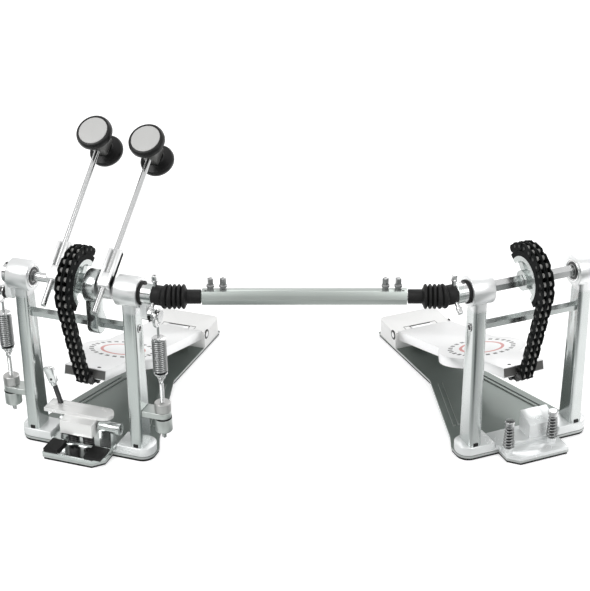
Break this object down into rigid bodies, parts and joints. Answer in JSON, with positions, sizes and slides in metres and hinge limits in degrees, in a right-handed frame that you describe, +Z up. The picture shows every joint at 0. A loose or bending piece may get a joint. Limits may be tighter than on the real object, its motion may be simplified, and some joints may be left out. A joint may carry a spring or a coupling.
{
  "type": "double bass drum pedal",
  "caption": "Double bass drum pedal: a primary pedal with twin beaters, chain-driven cams and a jointed drive shaft to a slave pedal that works the second beater.",
  "frame": {"origin": "on the floor under the middle of the primary pedal's axle", "axes": "+X along the primary axle towards the drive shaft, +Y towards the player's heel, +Z up; the drum is towards -Y"},
  "size_m": [0.6188, 0.4417, 0.3432],
  "materials": {
    "polished": "polished, bright nickel-chrome on cast metal",
    "bright_steel": "turned bright steel",
    "gunmetal": "satin gunmetal grey",
    "satin": "satin grey-green tube",
    "rubber": "matt black rubber",
    "chain": "blackened chain plates with brighter rollers",
    "beater_black": "moulded black with a pale grey striking face",
    "spring_steel": "grey spring wire"
  },
  "bodies": {
    "primary_frame": {"primary_base_plate": "gunmetal", "primary_base_pad": "rubber", "primary_foot": "polished", "primary_outer_post": "polished", "primary_inner_post": "polished", "primary_crossbar": "polished", "primary_heel_plate": "polished", "primary_centre_bracket": "polished", "primary_bearings": "bright_steel", "primary_fasteners": "bright_steel", "primary_tension_adjusters": "bright_steel", "clamp_plate": "polished", "clamp_pads": "rubber", "primary_boot": "rubber"},
    "slave_frame": {"slave_base_plate": "gunmetal", "slave_base_pad": "rubber", "slave_foot": "polished", "slave_outer_post": "polished", "slave_inner_post": "polished", "slave_crossbar": "polished", "slave_heel_plate": "polished", "slave_bearings": "bright_steel", "slave_fasteners": "bright_steel", "anchor_plate": "polished", "slave_boot": "rubber"},
    "primary_axle": {"primary_axle": "bright_steel", "primary_cam": "polished", "primary_chain_wrap": "chain", "primary_beater_hub": "polished"},
    "slave_axle": {"slave_axle": "bright_steel", "slave_cam": "polished", "slave_chain_wrap": "chain"},
    "slave_stub_axle": {"slave_stub_axle": "bright_steel", "slave_beater_hub": "polished"},
    "primary_beater": {"primary_beater_rod": "bright_steel", "primary_beater_head": "beater_black"},
    "slave_beater": {"slave_beater_rod": "bright_steel", "slave_beater_head": "beater_black"},
    "primary_footboard": {"primary_footboard": "polished"},
    "slave_footboard": {"slave_footboard": "polished"},
    "primary_spring": {"primary_spring": "spring_steel"},
    "primary_spring_shackle": {"primary_spring_shackle": "spring_steel"},
    "stub_spring": {"stub_spring": "spring_steel"},
    "stub_spring_shackle": {"stub_spring_shackle": "spring_steel"},
    "stub_cross": {"stub_cross": "bright_steel"},
    "slave_cross": {"slave_cross": "bright_steel"},
    "drive_shaft_tube": {"drive_shaft_tube": "satin"},
    "drive_shaft_rod": {"drive_shaft_rod": "bright_steel"},
    "clamp_jaw": {"clamp_jaw": "polished"},
    "clamp_screw": {"clamp_screw": "bright_steel"},
    "anchor_spur_inner": {"anchor_spur_inner": "bright_steel"},
    "anchor_spur_outer": {"anchor_spur_outer": "bright_steel"},
    "primary_chain_link_1": {"primary_chain_link_1": "chain"},
    "primary_chain_link_2": {"primary_chain_link_2": "chain"},
    "primary_chain_link_3": {"primary_chain_link_3": "chain"},
    "slave_chain_link_1": {"slave_chain_link_1": "chain"},
    "slave_chain_link_2": {"slave_chain_link_2": "chain"},
    "slave_chain_link_3": {"slave_chain_link_3": "chain"},
    "primary_chain_run": {"primary_chain_run": "chain"},
    "slave_chain_run": {"slave_chain_run": "chain"}
  },
  "joints": [
    {"name": "primary_footboard_hinge", "type": "hinge", "parent": "primary_frame", "child": "primary_footboard", "pos_m": [0, 0.243, 0.022], "axis": [1, 0, 0], "range_deg": [0, 7.03], "stiffness_Nm_per_rad": 4, "springref_deg": -17.19},
    {"name": "primary_axle_turn", "type": "hinge", "parent": "primary_frame", "child": "primary_axle", "pos_m": [0, 0, 0.2], "axis": [1, 0, 0], "range_deg": [0, 46.5]},
    {"name": "primary_chain_link_1_pivot", "type": "hinge", "parent": "primary_axle", "child": "primary_chain_link_1", "pos_m": [0.0035, -0.03145, 0.21849], "axis": [1, 0, 0], "range_deg": [-15.05, 0]},
    {"name": "primary_chain_link_2_pivot", "type": "hinge", "parent": "primary_chain_link_1", "child": "primary_chain_link_2", "pos_m": [0.0035, -0.03517, 0.20972], "axis": [1, 0, 0], "range_deg": [-15.05, 0]},
    {"name": "primary_chain_link_3_pivot", "type": "hinge", "parent": "primary_chain_link_2", "child": "primary_chain_link_3", "pos_m": [0.0035, -0.03649, 0.20029], "axis": [1, 0, 0], "range_deg": [-15.05, 0]},
    {"name": "primary_chain_run_pivot", "type": "hinge", "parent": "primary_chain_link_3", "child": "primary_chain_run", "pos_m": [0.0035, -0.03532, 0.19083], "axis": [1, 0, 0], "range_deg": [-7.55, 0]},
    {"name": "slave_footboard_hinge", "type": "hinge", "parent": "slave_frame", "child": "slave_footboard", "pos_m": [0.28811, 0.34037, 0.022], "axis": [0.7466, 0.6652, 0], "range_deg": [0, 7.03], "stiffness_Nm_per_rad": 4, "springref_deg": -17.19},
    {"name": "slave_axle_turn", "type": "hinge", "parent": "slave_frame", "child": "slave_axle", "pos_m": [0.44976, 0.15893, 0.2], "axis": [0.7466, 0.6652, 0], "range_deg": [0, 46.5]},
    {"name": "slave_chain_link_1_pivot", "type": "hinge", "parent": "slave_axle", "child": "slave_chain_link_1", "pos_m": [0.46807, 0.13312, 0.21849], "axis": [0.7466, 0.6652, 0], "range_deg": [-15.05, 0]},
    {"name": "slave_chain_link_2_pivot", "type": "hinge", "parent": "slave_chain_link_1", "child": "slave_chain_link_2", "pos_m": [0.47054, 0.13035, 0.20972], "axis": [0.7466, 0.6652, 0], "range_deg": [-15.05, 0]},
    {"name": "slave_chain_link_3_pivot", "type": "hinge", "parent": "slave_chain_link_2", "child": "slave_chain_link_3", "pos_m": [0.47142, 0.12936, 0.20029], "axis": [0.7466, 0.6652, 0], "range_deg": [-15.05, 0]},
    {"name": "slave_chain_run_pivot", "type": "hinge", "parent": "slave_chain_link_3", "child": "slave_chain_run", "pos_m": [0.47064, 0.13024, 0.19083], "axis": [0.7466, 0.6652, 0], "range_deg": [-7.55, 0]},
    {"name": "slave_stub_axle_turn", "type": "hinge", "parent": "primary_frame", "child": "slave_stub_axle", "pos_m": [0, 0, 0.2], "axis": [1, 0, 0], "range_deg": [0, 45.61]},
    {"name": "drive_shaft_tube_turn", "type": "hinge", "parent": "primary_frame", "child": "drive_shaft_tube", "pos_m": [0.1045, 0, 0.2], "axis": [0.9483, 0.3173, 0], "range_deg": [0, 44.09]},
    {"name": "drive_shaft_rod_turn", "type": "hinge", "parent": "slave_frame", "child": "drive_shaft_rod", "pos_m": [0.37174, 0.08942, 0.2], "axis": [0.9483, 0.3173, 0], "range_deg": [0, 44.09]},
    {"name": "slave_cross_rock", "type": "hinge", "parent": "slave_axle", "child": "slave_cross", "pos_m": [0.37174, 0.08942, 0.2], "axis": [0, 0, 1], "range_deg": [0, 6.8]},
    {"name": "stub_cross_rock", "type": "hinge", "parent": "slave_stub_axle", "child": "stub_cross", "pos_m": [0.1045, 0, 0.2], "axis": [0, 0, 1], "range_deg": [-5.36, 0]},
    {"name": "primary_spring_swing", "type": "hinge", "parent": "primary_frame", "child": "primary_spring", "pos_m": [-0.092, 0, 0.1], "axis": [1, 0, 0], "range_deg": [-11.82, 0]},
    {"name": "primary_spring_stretch", "type": "slide", "parent": "primary_spring", "child": "primary_spring_shackle", "axis": [0, 0, 1], "range_m": [0, 0.00928], "deforming": ["primary_spring"]},
    {"name": "stub_spring_swing", "type": "hinge", "parent": "primary_frame", "child": "stub_spring", "pos_m": [0.092, 0, 0.1], "axis": [1, 0, 0], "range_deg": [-11.69, 0]},
    {"name": "stub_spring_stretch", "type": "slide", "parent": "stub_spring", "child": "stub_spring_shackle", "axis": [0, 0, 1], "range_m": [0, 0.00896], "deforming": ["stub_spring"]},
    {"name": "primary_beater_height", "type": "slide", "parent": "primary_axle", "child": "primary_beater", "axis": [0, 0.7694, 0.6388], "range_m": [-0.015, 0.02]},
    {"name": "slave_beater_height", "type": "slide", "parent": "slave_stub_axle", "child": "slave_beater", "axis": [0, 0.7965, 0.6046], "range_m": [-0.015, 0.02]},
    {"name": "clamp_jaw_hinge", "type": "hinge", "parent": "primary_frame", "child": "clamp_jaw", "pos_m": [0, -0.012, 0.035], "axis": [1, 0, 0], "range_deg": [-12, 0]},
    {"name": "clamp_screw_travel", "type": "slide", "parent": "clamp_jaw", "child": "clamp_screw", "axis": [-0.2504, 0, 0.9681], "range_m": [0, 0.00405]},
    {"name": "anchor_spur_inner_travel", "type": "slide", "parent": "slave_frame", "child": "anchor_spur_inner", "axis": [0, 0, 1], "range_m": [-0.005, 0.01]},
    {"name": "anchor_spur_outer_travel", "type": "slide", "parent": "slave_frame", "child": "anchor_spur_outer", "axis": [0, 0, 1], "range_m": [-0.005, 0.01]},
    {"name": "slave_frame_reach", "type": "slide", "parent": "primary_frame", "child": "slave_frame", "axis": [0.9483, 0.3173, 0], "range_m": [0, 0.04]}
  ],
  "couplings": [
    {"joint": "primary_axle_turn", "follows": "primary_footboard_hinge", "ratio": 6.605},
    {"joint": "primary_chain_link_1_pivot", "follows": "primary_footboard_hinge", "ratio": -2.1328},
    {"joint": "primary_chain_link_2_pivot", "follows": "primary_footboard_hinge", "ratio": -2.1328},
    {"joint": "primary_chain_link_3_pivot", "follows": "primary_footboard_hinge", "ratio": -2.1328},
    {"joint": "primary_chain_run_pivot", "follows": "primary_footboard_hinge", "ratio": -1.0664},
    {"joint": "slave_axle_turn", "follows": "slave_footboard_hinge", "ratio": 6.605},
    {"joint": "slave_chain_link_1_pivot", "follows": "slave_footboard_hinge", "ratio": -2.1328},
    {"joint": "slave_chain_link_2_pivot", "follows": "slave_footboard_hinge", "ratio": -2.1328},
    {"joint": "slave_chain_link_3_pivot", "follows": "slave_footboard_hinge", "ratio": -2.1328},
    {"joint": "slave_chain_run_pivot", "follows": "slave_footboard_hinge", "ratio": -1.0664},
    {"joint": "slave_stub_axle_turn", "follows": "slave_footboard_hinge", "ratio": 6.4778},
    {"joint": "drive_shaft_tube_turn", "follows": "slave_footboard_hinge", "ratio": 6.2617},
    {"joint": "drive_shaft_rod_turn", "follows": "slave_footboard_hinge", "ratio": 6.2617},
    {"joint": "slave_cross_rock", "follows": "slave_footboard_hinge", "ratio": 0.95963},
    {"joint": "stub_cross_rock", "follows": "slave_footboard_hinge", "ratio": -0.75568},
    {"joint": "primary_spring_swing", "follows": "primary_footboard_hinge", "ratio": -1.6739},
    {"joint": "primary_spring_stretch", "follows": "primary_footboard_hinge", "m_per_rad": 0.075429},
    {"joint": "stub_spring_swing", "follows": "slave_footboard_hinge", "ratio": -1.6548},
    {"joint": "stub_spring_stretch", "follows": "slave_footboard_hinge", "m_per_rad": 0.072847},
    {"joint": "clamp_screw_travel", "follows": "clamp_jaw_hinge", "m_per_rad": -0.019099}
  ]
}
